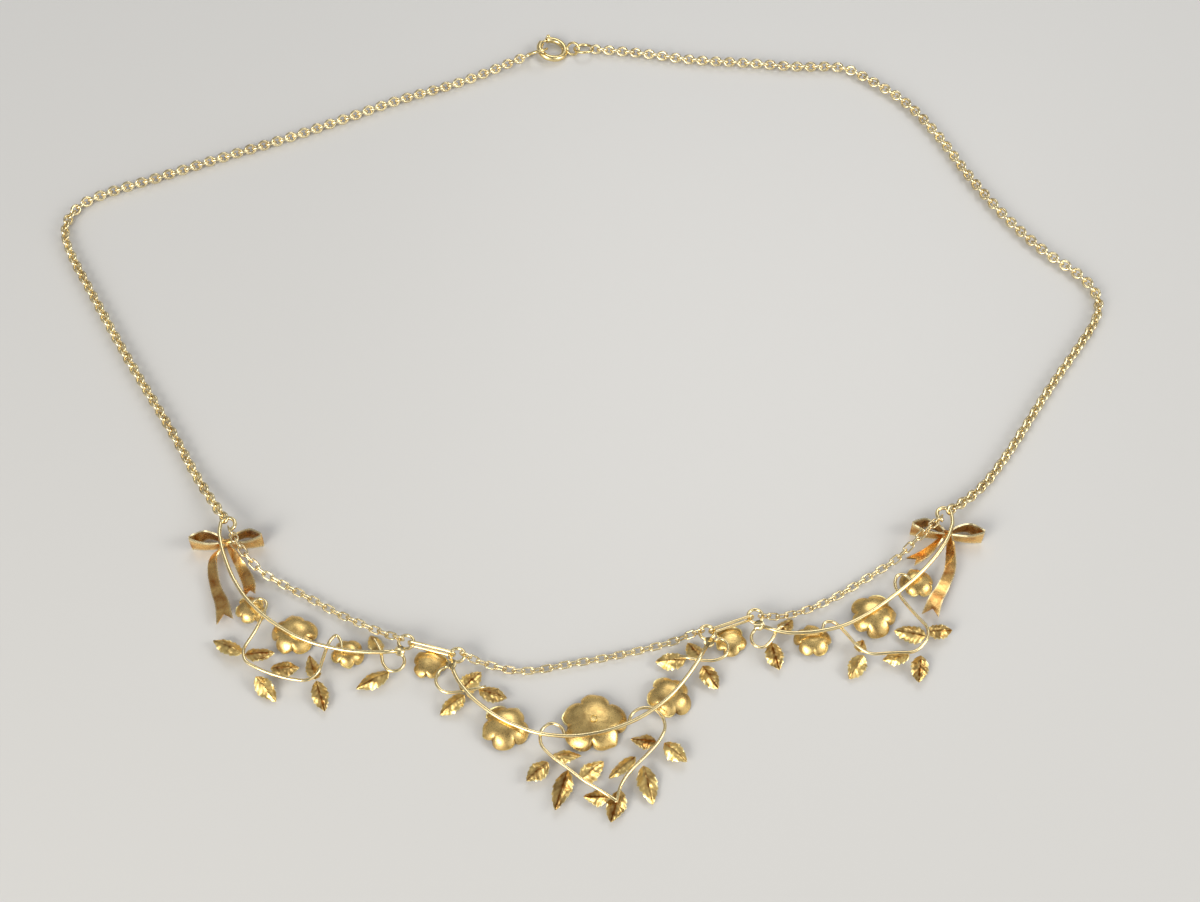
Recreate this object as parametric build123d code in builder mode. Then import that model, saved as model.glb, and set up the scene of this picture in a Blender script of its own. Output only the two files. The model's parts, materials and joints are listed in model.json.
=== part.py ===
"""Festoon necklace, lying face down: garlands of roses and leaves on bent wire, chains and a bolt ring."""
import os
from math import cos, pi, radians, sin, tan

from build123d import *

# Wires of the garlands, mm. Every garland lies face down, so its wires run over the backs of the roses.
main_wire = 0.52
vine_wire = 0.42
ring_wire = 0.45
main_z = 2.45
vine_z = 2.10
ring_z = 1.90
ring_radius = 0.97
pad_thickness = 0.40
pad_radius = 0.68

# Oval links that join the garlands stand on edge through two rings.
oval_wire = 0.40
oval_height = 1.15
oval_inset = 0.38

# Stamped sheet of the roses, leaves and bows.
rose_sheet = 0.24
leaf_sheet = 0.20
ribbon_sheet = 0.26

# Roses: a cup of five petals over a smaller one turned by half a petal, round a bud.
petals = 5
petal_roundness = 3.0
petal_notch = 0.18
petal_crease = 0.14
dome_power = 1.4
inner_cup = 0.62
inner_drop = 0.42
inner_rim_z = 0.35
bud_share = 0.20
bud_lift = 0.05
hub_radius = 0.55
pin_radius = 0.50

# Leaves: how wide the blade is at its ends and in the notches of its edge, as shares of its full width.
leaf_end = 0.20
leaf_notch = 0.86

# Bows: ribbon on edge, broad at the folds and narrow at the knot.
bow_reach = 4.9
bow_bulge = 1.7
bow_fold_height = 2.9
bow_waist_reach = 2.7
bow_waist_height = 2.0
bow_knot_low = 0.5
bow_knot_high = 1.75
bow_knot_width = 1.5
bow_knot_depth = 1.1
bow_near = -0.45
bow_fold = -0.10
bow_far = 0.35
bow_start = 0.3
bow_crown = 2.9
tail_fork = 1.1

# Swag chains of oval links, every second one on edge.
swag_wire = 0.25
swag_inner_length = 1.37
swag_width = 1.15
swag_pitch = 1.20

# Back chains: solid runs of the chain's outer width.
chain_width = 1.70

# Clasp: a tubular bolt ring with a sprung bolt inside it, and a jump ring at each side.
bolt_ring_radius = 2.10
bolt_tube = 1.00
bolt_bore = 0.72
bolt_wire = 0.42
bolt_tilt = 11.0
bolt_gate_low = 118.0
bolt_gate_high = 150.0
bolt_tip_overlap = 7.0
bolt_travel = 41.0
bolt_tail = 40.0
knob_angle = 104.0
knob_stem = 0.40
knob_cap = 0.62
knob_reach = 0.95
slot_width = 0.60
slot_slack = 7.0
tail_ring_radius = 0.95
tail_ring_wire = 0.40
tail_ring_tilt = 40.0
jump_wire = 0.44
left_jump_radius = 1.60
left_jump_tilt = 45.0
left_jump_angle = 203.0
left_jump_reach = 0.50
left_jump_z = 1.38
right_jump_radius = 1.50
right_jump_tilt = -20.0

# The middle of the necklace's outline, seen from the zero of the tables below.
outline_middle = (0.2, -2.7)


def spot(x, y, z=0.0):
    """A point of the tables, seen from the part's own origin."""
    return Vector(x - outline_middle[0], y - outline_middle[1], z)


def bend_radii(points):
    """Radius of each bend: as large as the runs beside it allow."""
    radii = []
    for before, corner, after in zip(points, points[1:], points[2:]):
        first = corner - before
        second = after - corner
        half_turn = radians(first.get_angle(second)) / 2
        radii.append(0.45 * min(first.length, second.length) / tan(half_turn))
    return radii


def route(points):
    """Straight runs joined by tangent arcs."""
    with BuildLine() as path:
        FilletPolyline(*points, radius=bend_radii(points))
    return path.wire()


def add_wire(points, thickness):
    """A bent wire, added to the part being built."""
    path = route(points)
    with BuildSketch(Plane(origin=path @ 0, z_dir=path % 0)) as section:
        Circle(thickness / 2)
    sweep(sections=section.sketch, path=path)


def add_ring(plane, radius, thickness):
    """A closed round ring in the given plane, added to the part being built."""
    side = Plane(origin=plane.origin + plane.x_dir * radius, x_dir=plane.x_dir, z_dir=plane.y_dir)
    with BuildSketch(side) as section:
        Circle(thickness / 2)
    revolve(profiles=section.sketch, axis=Axis(plane.origin, plane.z_dir), revolution_arc=360)


def sheet_rows_offset(rows, shift, closed, upright):
    """The grid of a thin sheet, moved straight up or along its own normals."""
    last = len(rows) - 1
    moved = []
    for i, row in enumerate(rows):
        count = len(row)
        line = []
        for j, point in enumerate(row):
            along = rows[min(i + 1, last)][j] - rows[max(i - 1, 0)][j]
            after = row[(j + 1) % count] if closed else row[min(j + 1, count - 1)]
            before = row[j - 1] if closed else row[max(j - 1, 0)]
            normal = Vector(0, 0, 1) if upright else along.cross(after - before).normalized()
            line.append(point + normal * shift)
        moved.append(line)
    return moved


def thin_sheet(rows, thickness, closed=False, upright=False):
    """A thin solid about a grid of points: a closed one is a cup, an upright one is thick along Z."""
    outer = sheet_rows_offset(rows, thickness / 2, closed, upright)
    inner = sheet_rows_offset(rows, -thickness / 2, closed, upright)
    count = len(rows[0])
    spans = count if closed else count - 1
    triangles = []
    for i in range(len(rows) - 1):
        for j in range(spans):
            k = (j + 1) % count
            triangles.append((outer[i][j], outer[i + 1][j], outer[i + 1][k]))
            triangles.append((outer[i][j], outer[i + 1][k], outer[i][k]))
            triangles.append((inner[i][j], inner[i + 1][k], inner[i + 1][j]))
            triangles.append((inner[i][j], inner[i][k], inner[i + 1][k]))
    for j in range(spans):
        k = (j + 1) % count
        triangles.append((outer[-1][j], inner[-1][j], inner[-1][k]))
        triangles.append((outer[-1][j], inner[-1][k], outer[-1][k]))
        if closed:
            for face, order in ((outer, 1), (inner, -1)):
                middle = sum(face[0], Vector()) * (1 / count)
                triangles.append((middle, face[0][j], face[0][k])[::order])
        else:
            triangles.append((outer[0][j], inner[0][k], inner[0][j]))
            triangles.append((outer[0][j], outer[0][k], inner[0][k]))
    if not closed:
        for i in range(len(rows) - 1):
            for j, order in ((0, 1), (count - 1, -1)):
                triangles.append((outer[i][j], inner[i][j], inner[i + 1][j])[::order])
                triangles.append((outer[i][j], inner[i + 1][j], outer[i + 1][j])[::order])
    faces = [Face(Wire.make_polygon(corners, close=True)) for corners in triangles]
    return Solid(Shell(faces))


def petal_cup(centre, radius, height, rim_z, turn, columns, steps):
    """Grid of a domed cup that opens downward, its rim cut into rounded petals."""
    rows = []
    for i in range(steps + 1):
        row = []
        for j in range(petals * columns):
            cut = abs(2 * ((j / columns) % 1) - 1) ** petal_roundness
            sweep_angle = (i / steps) * (pi / 2) * (1.0 - petal_notch * cut)
            fold = 1.0 - petal_crease * (i / steps) ** 2 * cut
            reach = (hub_radius + (radius - hub_radius) * sin(sweep_angle)) * fold
            drop = rim_z + (height - rim_z) * cos(sweep_angle) ** dome_power
            angle = 2 * pi * j / (petals * columns) + radians(turn)
            row.append(centre + Vector(reach * cos(angle), reach * sin(angle), drop))
        rows.append(row)
    return rows


def make_rose(rose):
    """A rose: outer petals, inner petals and a bud, held by one pin."""
    centre = spot(rose["x"], rose["y"])
    radius = rose["radius"]
    columns = 6 if radius > 2.5 else 4
    top = rose["height"] - rose_sheet / 2
    outer = petal_cup(centre, radius, top, rose_sheet, rose["turn"], columns, 5)
    inner = petal_cup(centre, radius * inner_cup, top - inner_drop, inner_rim_z, rose["turn"] + 36, 4, 3)
    bud_radius = radius * bud_share
    bud_z = bud_radius + bud_lift
    with BuildPart() as flower:
        with Locations(centre + Vector(0, 0, bud_z)):
            Sphere(bud_radius)
            Cylinder(pin_radius, rose["height"] - bud_z + rose["pin"],
                     align=(Align.CENTER, Align.CENTER, Align.MIN))
        add(thin_sheet(outer, rose_sheet, closed=True))
        add(thin_sheet(inner, rose_sheet, closed=True))
    return flower.part


def make_leaf(leaf):
    """A folded leaf with a sawn edge, its stem end at the base."""
    base = spot(*leaf["base"])
    tip = spot(*leaf["tip"])
    along = tip - base
    side = Vector(0, 0, 1).cross(along).normalized()
    steps = 8
    rows = []
    for i in range(steps + 1):
        t = i / steps
        half = leaf["width"] / 2 * (leaf_end + (1 - leaf_end) * sin(pi * t ** 0.75))
        if i % 2:
            half *= leaf_notch
        rib = base + along * t + Vector(0, 0, leaf["arch"] * sin(pi * t))
        row = []
        for across in (-1.0, -0.5, 0.0, 0.5, 1.0):
            droop = leaf["fold"] * abs(across) * half - leaf["roll"] * across * half
            row.append(rib + side * (across * half) - Vector(0, 0, droop))
        rows.append(row)
    return thin_sheet(rows, leaf_sheet, upright=True)


def make_tail(rows):
    """A ribbon tail with a forked end: each row is x, y, z, half width and lean from upright in degrees."""
    grid = []
    middles = [spot(x, y, z) for x, y, z, half, lean in rows]
    for i, (x, y, z, half, lean) in enumerate(rows):
        along = (middles[min(i + 1, len(rows) - 1)] - middles[max(i - 1, 0)]).normalized()
        flat = Vector(0, 0, 1).cross(along).normalized()
        across = flat * sin(radians(lean)) + Vector(0, 0, 1) * cos(radians(lean))
        notch = along * (-tail_fork if i == len(rows) - 1 else 0.0)
        grid.append([middles[i] - across * half, middles[i] + notch, middles[i] + across * half])
    return thin_sheet(grid, ribbon_sheet)


def make_bow(knot, turn, tails):
    """A bow: two loops of ribbon on edge, a knot and two forked tails."""
    frame = Plane(origin=spot(*knot), x_dir=(cos(radians(turn)), sin(radians(turn)), 0), z_dir=(0, 0, 1))
    front = Plane(origin=spot(*knot), x_dir=frame.x_dir, z_dir=-frame.y_dir)
    with BuildPart() as bow:
        for hand in (-1, 1):
            with BuildSketch(frame):
                with BuildLine():
                    near = Line((hand * bow_start, bow_near), (hand * bow_reach, bow_fold))
                    far = ThreePointArc(near @ 1, (hand * bow_crown, bow_bulge), (hand * bow_start, bow_far))
                    Line(far @ 1, near @ 0)
                make_face()
                offset(amount=-ribbon_sheet, kind=Kind.INTERSECTION, mode=Mode.SUBTRACT)
            extrude(amount=bow_fold_height)
        with BuildSketch(front):
            with BuildLine():
                Polyline((-bow_reach, 0), (0, bow_knot_low), (bow_reach, 0), (bow_reach, bow_fold_height),
                         (bow_waist_reach, bow_waist_height), (0, bow_knot_high),
                         (-bow_waist_reach, bow_waist_height), (-bow_reach, bow_fold_height), close=True)
            make_face()
        extrude(amount=bow_bulge + 1, both=True, mode=Mode.INTERSECT)
        with Locations(frame.location * Location((0, 0, (bow_knot_low + bow_knot_high) / 2))):
            Box(bow_knot_width, bow_knot_depth, bow_knot_high - bow_knot_low + 0.15)
        for tail in tails:
            add(make_tail(tail))
    return bow.part


def write_piece(part, name):
    """Label a finished piece and write its file."""
    part.label = name
    export_step(part, f"parts/{name}.step")
    pieces.append(name)


def curl_points(curl, z):
    """Corners round a curl of wire that ends the main wire beside a ring of its own."""
    count = 6
    step = (curl["to"] - curl["from"]) / (count - 1)
    reach = ring_radius / cos(radians(step) / 2)
    corners = []
    for i in range(count):
        angle = radians(curl["from"] + i * step)
        corners.append(spot(curl["at"][0] + reach * cos(angle), curl["at"][1] + reach * sin(angle), z))
    return corners


def make_garland(garland):
    """The soldered wires of one garland: main wire, rings, pads, vines and tendrils."""
    with BuildPart() as frame:
        points = [spot(x, y, main_z) for x, y in garland["main"]]
        if garland["curls"]:
            points = curl_points(garland["curls"][0], main_z) + points
        add_wire(points, main_wire)
        for x, y in garland["rings"]:
            add_ring(Plane(origin=spot(x, y, ring_z)), ring_radius, ring_wire)
        for x, y in garland["pads"]:
            with Locations(spot(x, y, (ring_z + main_z) / 2)):
                Cylinder(pad_radius, pad_thickness)
        for vine in garland["vines"] + garland["tendrils"]:
            add_wire([spot(x, y, vine_z) for x, y in vine], vine_wire)
    return frame.part


def make_oval_link(first, second):
    """A long oval link standing on edge through the end rings of two garlands."""
    start = spot(*first, ring_z)
    end = spot(*second, ring_z)
    along = (end - start).normalized()
    length = (end - start).length - 2 * oval_inset - oval_height
    with BuildPart() as link:
        with BuildLine(Plane(origin=(start + end) / 2, x_dir=along, z_dir=Vector(0, 0, 1).cross(along))):
            top = Line((-length / 2, oval_height / 2), (length / 2, oval_height / 2))
            right = RadiusArc(top @ 1, (length / 2, -oval_height / 2), oval_height / 2)
            bottom = Line(right @ 1, (-length / 2, -oval_height / 2))
            RadiusArc(bottom @ 1, top @ 0, oval_height / 2)
        with BuildSketch(Plane(origin=top @ 0, z_dir=top % 0)):
            Circle(oval_wire / 2)
        sweep()
    return link.part


def make_chain_link():
    """One oval link of a swag chain, lying flat with its length along X."""
    half = (swag_inner_length - swag_width) / 2 + swag_wire
    radius = (swag_width - swag_wire) / 2
    with BuildPart() as link:
        with BuildLine():
            top = Line((-half, radius), (half, radius))
            right = RadiusArc(top @ 1, (half, -radius), radius)
            bottom = Line(right @ 1, (-half, -radius))
            RadiusArc(bottom @ 1, top @ 0, radius)
        with BuildSketch(Plane(origin=top @ 0, z_dir=top % 0)):
            Circle(swag_wire / 2)
        sweep()
    return link.part


def make_swag(points):
    """A swag chain of loose links along its route, the first and last on edge to pass through flat rings."""
    path = route([spot(*point) for point in points])
    count = 2 * round((path.length / swag_pitch - 1) / 2) + 1
    pitch = path.length / count
    places = []
    for i in range(count):
        along = path.tangent_at((i + 0.5) / count)
        flat = Vector(0, 0, 1).cross(along).normalized()
        across = along.cross(flat)
        places.append(Plane(origin=path.position_at((i + 0.5) / count), x_dir=along,
                            z_dir=flat if i % 2 == 0 else across).location)
    print(f"swag of {count} links, pitch {pitch:.2f}")
    link = make_chain_link()
    with BuildPart() as chain:
        with Locations(*places):
            add(link)
    return chain.part


def make_back_chain(points, lifts):
    """The solid run that a back chain fills, lifted at its two ends to the rings that hold it."""
    heights = [lifts[0]] + [0.0] * (len(points) - 2) + [lifts[1]]
    corners = [spot(x, y, chain_width / 2 + lift) for (x, y), lift in zip(points, heights)]
    print("bends", " ".join(f"{radius:.1f}" for radius in bend_radii(corners)))
    with BuildPart() as run:
        add_wire(corners, chain_width)
    length = route(corners).length
    print(f"run {length:.1f} long, volume over section {run.part.volume / (pi * chain_width ** 2 / 4):.1f}")
    return run.part


def turned(plane, angle):
    """The plane turned about its own normal, in degrees."""
    x_dir = plane.x_dir * cos(radians(angle)) + plane.y_dir * sin(radians(angle))
    return Plane(origin=plane.origin, x_dir=x_dir, z_dir=plane.z_dir)


def arc_of_tube(plane, low, high, thickness, mode=Mode.ADD):
    """A bent tube or rod about the plane's normal between two angles."""
    start = turned(plane, low)
    middle = start.origin + start.x_dir * bolt_ring_radius
    with BuildSketch(Plane(origin=middle, x_dir=start.x_dir, z_dir=start.y_dir)) as section:
        Circle(thickness / 2)
    axis = Axis(plane.origin, plane.z_dir)
    revolve(profiles=section.sketch, axis=axis, revolution_arc=high - low, mode=mode)


def make_bolt_ring(plane):
    """The tubular ring with its gate, the slot for the knob and the small ring soldered at its tail."""
    with BuildPart() as ring:
        arc_of_tube(plane, bolt_gate_high, bolt_gate_low + 360, bolt_tube)
        arc_of_tube(plane, bolt_gate_high - 1, bolt_gate_low + 361, bolt_bore, Mode.SUBTRACT)
        start = turned(plane, knob_angle - bolt_travel - slot_slack)
        middle = start.origin + start.x_dir * bolt_ring_radius
        with BuildSketch(Plane(origin=middle, x_dir=start.x_dir, z_dir=start.y_dir)) as slot:
            Rectangle(bolt_tube, slot_width, align=(Align.MIN, Align.CENTER))
        revolve(profiles=slot.sketch, axis=Axis(plane.origin, plane.z_dir),
                revolution_arc=bolt_travel + 2 * slot_slack, mode=Mode.SUBTRACT)
        add_ring(tail_plane, tail_ring_radius, tail_ring_wire)
    return ring.part


def make_trigger(plane):
    """The sprung bolt inside the ring, with the knob that slides it back."""
    with BuildPart() as bolt:
        arc_of_tube(plane, knob_angle - bolt_tail, bolt_gate_high + bolt_tip_overlap, bolt_wire)
        knob = turned(plane, knob_angle)
        stem = Plane(origin=knob.origin + knob.x_dir * bolt_ring_radius, z_dir=knob.x_dir)
        with BuildSketch(stem) as section:
            Circle(knob_stem / 2)
        extrude(section.sketch, amount=knob_reach)
        with BuildSketch(stem.offset(bolt_tube / 2 + 0.08)) as cap:
            Circle(knob_cap / 2)
        extrude(cap.sketch, amount=knob_reach - bolt_tube / 2 - 0.08)
    return bolt.part


def make_jump_ring(plane, radius):
    """A plain closed jump ring."""
    with BuildPart() as ring:
        add_ring(plane, radius, jump_wire)
    return ring.part


# Garland wires. Each route is a list of points seen from above, the main wire first.
garlands = {
    "left": {
        "main": [(-47.3, -30.6), (-46.6, -33.2), (-45.0, -37.0), (-42.7, -40.6), (-39.3, -43.8),
                 (-34.6, -46.8), (-29.2, -48.2), (-25.4, -48.5), (-22.3, -48.3)],
        "curls": [{"at": (-46.3, -29.2), "from": -75, "to": 205}],
        "vines": [[(-42.1, -41.4), (-41.1, -40.2), (-39.8, -40.9), (-40.1, -42.6), (-41.0, -45.3),
                   (-42.3, -47.8), (-41.9, -49.6), (-39.3, -51.0), (-36.4, -52.0), (-33.6, -52.4),
                   (-32.2, -51.2), (-31.8, -48.9), (-31.2, -46.6), (-30.4, -45.6), (-29.7, -46.6),
                   (-29.4, -48.3)]],
        "rings": [(-21.3, -46.7)],
        "pads": [(-22.0, -48.1)],
        "tendrils": [[(-21.8, -48.3), (-21.2, -49.6), (-21.7, -50.8), (-23.1, -51.1), (-24.1, -50.0),
                      (-24.4, -48.2), (-25.4, -46.4)]],
    },
    "centre": {
        "main": [(-15.3, -50.2), (-14.4, -52.4), (-12.4, -55.0), (-8.9, -57.8), (-4.4, -59.8), (0.2, -60.3),
                 (4.7, -59.5), (8.8, -57.8), (12.5, -55.0), (15.5, -51.2), (17.8, -47.1)],
        "curls": [],
        "vines": [[(-0.5, -60.2), (-1.0, -58.7), (-2.4, -58.1), (-3.7, -59.2), (-3.7, -61.2), (-2.3, -62.7),
                   (-0.2, -64.3), (1.8, -66.0), (3.8, -67.2), (5.9, -68.7)],
                  [(7.4, -58.4), (7.7, -57.0), (8.9, -56.1), (10.5, -56.1), (11.7, -57.2), (12.1, -58.9),
                   (11.1, -60.9), (9.2, -63.0), (7.4, -64.8), (6.3, -66.6), (5.8, -68.9)]],
        "rings": [(-14.6, -48.6), (17.7, -45.3)],
        "pads": [(-15.3, -50.0), (17.9, -46.9)],
        "tendrils": [[(-15.4, -50.1), (-16.9, -50.8), (-17.3, -52.6), (-16.2, -54.0), (-14.4, -54.0),
                      (-12.6, -53.5), (-10.7, -53.2)],
                     [(18.1, -46.9), (19.5, -46.1), (20.5, -47.2), (20.1, -48.8), (18.6, -49.5), (16.4, -49.4),
                      (14.0, -48.8)]],
    },
    "right": {
        "main": [(51.3, -29.0), (50.5, -31.2), (48.9, -33.7), (46.3, -36.7), (43.3, -39.4), (39.5, -42.4),
                 (35.5, -44.7), (31.2, -45.6), (27.8, -45.7), (24.9, -44.7)],
        "curls": [{"at": (50.3, -27.6), "from": 255, "to": -25}],
        "vines": [[(45.0, -37.8), (44.2, -36.7), (43.1, -36.8), (42.6, -38.3), (43.4, -40.4), (45.0, -42.8),
                   (46.5, -44.7), (46.3, -46.3), (44.6, -48.3), (41.9, -48.3), (38.6, -48.6),
                   (37.0, -47.4), (35.6, -45.3), (34.3, -43.8), (33.0, -43.8), (32.6, -45.5)]],
        "rings": [(24.1, -42.9)],
        "pads": [(24.5, -44.4)],
        "tendrils": [[(24.2, -44.6), (23.3, -45.9), (23.6, -47.3), (24.9, -47.7), (26.1, -46.5), (26.8, -44.9),
                      (27.9, -44.3)]],
    },
}

# Roses: the height is the top of the cup, and pin is how far the pin's head stands out of it.
rose_columns = ("name", "x", "y", "radius", "height", "turn", "pin")
rose_rows = [
    ("left_rose_1", -42.2, -41.3, 2.0, 1.65, 10, 0.0),
    ("left_rose_2", -36.1, -45.1, 3.0, 2.10, 55, 0.0),
    ("left_rose_3", -28.9, -47.8, 2.1, 1.75, 18, 0.0),
    ("left_link_rose", -18.2, -49.2, 2.2, 1.30, 40, 0.0),
    ("centre_rose_1", -8.2, -58.2, 3.1, 2.10, 15, 0.0),
    ("centre_rose_2", 3.0, -57.6, 4.2, 2.10, 50, 0.18),
    ("centre_rose_3", 12.6, -54.0, 2.9, 2.10, 5, 0.0),
    ("right_link_rose", 20.8, -45.9, 2.1, 1.32, 22, 0.0),
    ("right_rose_3", 31.5, -45.9, 2.4, 1.75, 54, 0.0),
    ("right_rose_2", 39.7, -42.2, 3.1, 2.10, 32, 0.0),
    ("right_rose_1", 45.9, -37.3, 2.2, 1.65, 60, 0.0),
]
roses = [dict(zip(rose_columns, row)) for row in rose_rows]

# Leaves: stem end and tip, with the width of the blade, the fold along its rib, its arch and its roll.
leaf_columns = ("garland", "base", "tip", "width", "fold", "arch", "roll")
leaf_rows = [
    ("left", (-42.5, -48.1, 1.6), (-46.5, -46.0, 1.2), 2.4, 0.5, 0.15, 0.2),
    ("left", (-42.0, -48.3, 1.6), (-38.4, -47.9, 1.0), 2.6, 0.4, 0.15, -0.3),
    ("left", (-38.5, -50.3, 1.6), (-35.0, -50.0, 1.0), 2.7, 0.5, 0.10, -0.2),
    ("left", (-40.3, -51.5, 1.6), (-37.6, -54.5, 0.9), 2.4, 0.6, 0.10, 0.2),
    ("left", (-32.7, -51.8, 1.6), (-33.8, -48.2, 1.0), 2.0, 0.7, 0.10, 0.3),
    ("left", (-32.5, -52.1, 1.6), (-31.2, -56.0, 0.8), 2.4, 0.6, 0.15, 0.0),
    ("left", (-24.6, -48.0, 1.6), (-26.3, -44.8, 0.3), 2.2, 0.5, 0.10, 0.2),
    ("left", (-23.3, -50.9, 1.6), (-27.4, -52.8, 0.9), 2.6, 0.5, 0.15, 0.1),
    ("right", (46.5, -45.0, 1.6), (49.7, -44.6, 1.1), 2.3, 0.4, 0.15, 0.2),
    ("right", (46.1, -45.7, 1.6), (42.3, -44.4, 1.0), 2.6, 0.4, 0.10, -0.3),
    ("right", (43.7, -48.4, 1.6), (40.4, -48.7, 1.0), 2.3, 0.6, 0.10, 0.2),
    ("right", (45.2, -48.5, 1.6), (44.7, -52.0, 0.9), 2.6, 0.5, 0.15, 0.0),
    ("right", (37.3, -47.9, 1.6), (38.0, -45.9, 1.0), 1.8, 0.6, 0.10, 0.3),
    ("right", (37.8, -48.5, 1.6), (35.9, -51.3, 0.9), 2.6, 0.5, 0.15, -0.1),
    ("right", (27.2, -45.0, 1.6), (29.1, -42.6, 0.3), 2.2, 0.5, 0.05, 0.0),
    ("right", (26.0, -46.6, 1.6), (26.9, -50.2, 0.9), 2.6, 0.5, 0.15, 0.1),
    ("centre", (-13.9, -53.4, 1.6), (-11.6, -50.5, 1.0), 2.7, 0.4, 0.15, 0.2),
    ("centre", (-11.6, -53.3, 1.6), (-8.1, -54.4, 1.2), 2.6, 0.5, 0.10, -0.2),
    ("centre", (-13.5, -54.1, 1.6), (-16.5, -56.4, 0.9), 2.6, 0.5, 0.15, 0.1),
    ("centre", (-2.7, -63.3, 1.6), (-5.3, -65.6, 1.2), 2.6, 0.5, 0.15, 0.0),
    ("centre", (-0.2, -64.4, 1.6), (-1.7, -69.4, 1.0), 2.7, 0.6, 0.20, 0.2),
    ("centre", (-2.1, -62.4, 1.6), (1.4, -62.2, 1.2), 2.1, 0.6, 0.10, -0.4),
    ("centre", (1.4, -65.6, 1.6), (4.2, -62.9, 1.1), 2.5, 0.4, 0.10, 0.3),
    ("centre", (4.9, -68.0, 1.6), (1.8, -67.6, 1.0), 2.1, 0.5, 0.10, -0.2),
    ("centre", (8.2, -62.6, 1.6), (4.9, -65.1, 0.9), 2.0, 0.5, 0.10, 0.3),
    ("centre", (10.8, -60.5, 1.6), (7.7, -60.0, 1.0), 2.4, 0.6, 0.10, 0.3),
    ("centre", (11.9, -60.7, 1.6), (14.6, -63.0, 1.3), 2.6, 0.5, 0.15, 0.0),
    ("centre", (9.2, -63.8, 1.6), (10.3, -68.5, 0.9), 2.8, 0.6, 0.20, -0.1),
    ("centre", (6.3, -67.0, 1.6), (5.2, -70.9, 0.8), 2.7, 0.6, 0.10, 0.2),
    ("centre", (16.8, -48.8, 1.6), (15.2, -46.3, 0.9), 2.6, 0.5, 0.15, 0.0),
    ("centre", (14.8, -49.1, 1.6), (11.0, -49.0, 1.2), 2.6, 0.5, 0.10, -0.2),
    ("centre", (17.0, -50.0, 1.6), (18.9, -52.9, 0.9), 2.6, 0.5, 0.15, 0.1),]
leaves = [dict(zip(leaf_columns, row)) for row in leaf_rows]

# Bows, with tails whose rows are x, y, z, half width and lean from upright.
bows = {
    "left_bow": {
        "knot": (-46.4, -31.4), "turn": 3,
        "tails": [[(-46.7, -31.8, 1.3, 0.6, 20), (-47.9, -33.6, 1.2, 0.65, 50), (-47.7, -36.0, 1.3, 0.7, 75),
                   (-47.0, -38.4, 1.0, 0.75, 80), (-45.9, -40.8, 1.35, 0.95, 80), (-45.3, -43.3, 1.1, 1.15, 75)],
                  [(-46.1, -31.9, 1.3, 0.6, 20), (-44.9, -33.7, 1.0, 0.65, 50), (-43.7, -35.6, 0.6, 0.8, 75),
                   (-42.8, -37.5, 0.9, 0.85, 80), (-42.3, -39.7, 1.9, 0.75, 80)]],
    },
    "right_bow": {
        "knot": (50.6, -30.0), "turn": -8,
        "tails": [[(50.0, -30.3, 1.3, 0.6, 20), (48.7, -31.7, 1.0, 0.65, 50), (47.2, -32.9, 0.6, 0.75, 70),
                   (45.3, -34.2, 1.0, 0.8, 80)],
                  [(50.9, -30.6, 1.3, 0.6, 20), (50.8, -33.0, 1.2, 0.7, 50), (50.4, -35.6, 1.3, 0.75, 75),
                   (49.3, -38.0, 1.0, 0.8, 80), (48.0, -40.2, 1.3, 0.95, 80), (47.1, -42.4, 1.1, 1.15, 75)]],
    },
}

# Swag chains, each from ring to ring; x, y and z of points along them.
swags = {
    "left_swag_chain": [(-46.1, -29.8, 2.39), (-44.9, -31.9, 2.9), (-43.3, -34.0, 2.2), (-41.3, -35.8, 1.0),
                        (-38.4, -37.4, 0.6), (-34.1, -39.8, 0.6), (-30.8, -41.8, 0.6), (-27.6, -43.5, 1.0),
                        (-24.6, -45.0, 1.2), (-21.8, -46.3, 1.98)],
    "centre_swag_chain": [(-14.0, -48.4, 2.1), (-12.2, -48.9, 0.9), (-10.0, -49.5, 0.6), (-7.5, -50.2, 0.6),
                          (-4.6, -50.2, 0.6), (-0.6, -49.3, 0.6), (4.2, -48.4, 0.6), (8.9, -47.3, 0.6),
                          (13.3, -46.0, 0.6), (15.4, -45.2, 1.0), (17.1, -45.1, 2.1)],
    "right_swag_chain": [(49.9, -28.0, 2.36), (48.4, -29.6, 2.95), (46.2, -31.4, 2.2), (43.6, -33.7, 0.8),
                         (38.9, -36.8, 0.6), (34.5, -39.7, 0.6), (30.6, -41.7, 1.0), (27.6, -42.7, 1.3),
                         (24.7, -42.9, 1.98)],
}

# Back chains, from the clasp to the ring behind each bow: x and y of the points, and the lift of both ends.
back_chains = {
    "left_back_chain": {
        "lifts": (0.4, 1.2),
        "points": [(-8.4, 60.5), (-14.2, 57.3), (-20.4, 54.2), (-28.6, 51.1), (-36.8, 46.9), (-46.2, 42.4),
                   (-55.8, 38.5), (-64.8, 34.4), (-72.2, 31.3), (-75.9, 28.5), (-77.2, 24.3), (-75.7, 19.8),
                   (-72.0, 12.8), (-64.4, -0.3), (-55.9, -13.5), (-50.9, -22.4), (-47.0, -28.1)],
    },
    "right_back_chain": {
        "lifts": (0.0, 1.2),
        "points": [(3.0, 62.6), (10.5, 61.8), (18.6, 60.0), (27.4, 59.5), (36.2, 58.4), (43.2, 58.8),
                   (47.7, 55.3), (52.7, 50.9), (57.3, 43.3), (61.1, 34.4), (65.8, 26.0), (70.8, 19.3),
                   (75.4, 15.2), (77.5, 11.3), (76.8, 7.2), (73.3, 2.0), (67.4, -6.2), (60.9, -16.4),
                   (55.4, -23.7), (51.4, -26.8)],
    },
}

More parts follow.
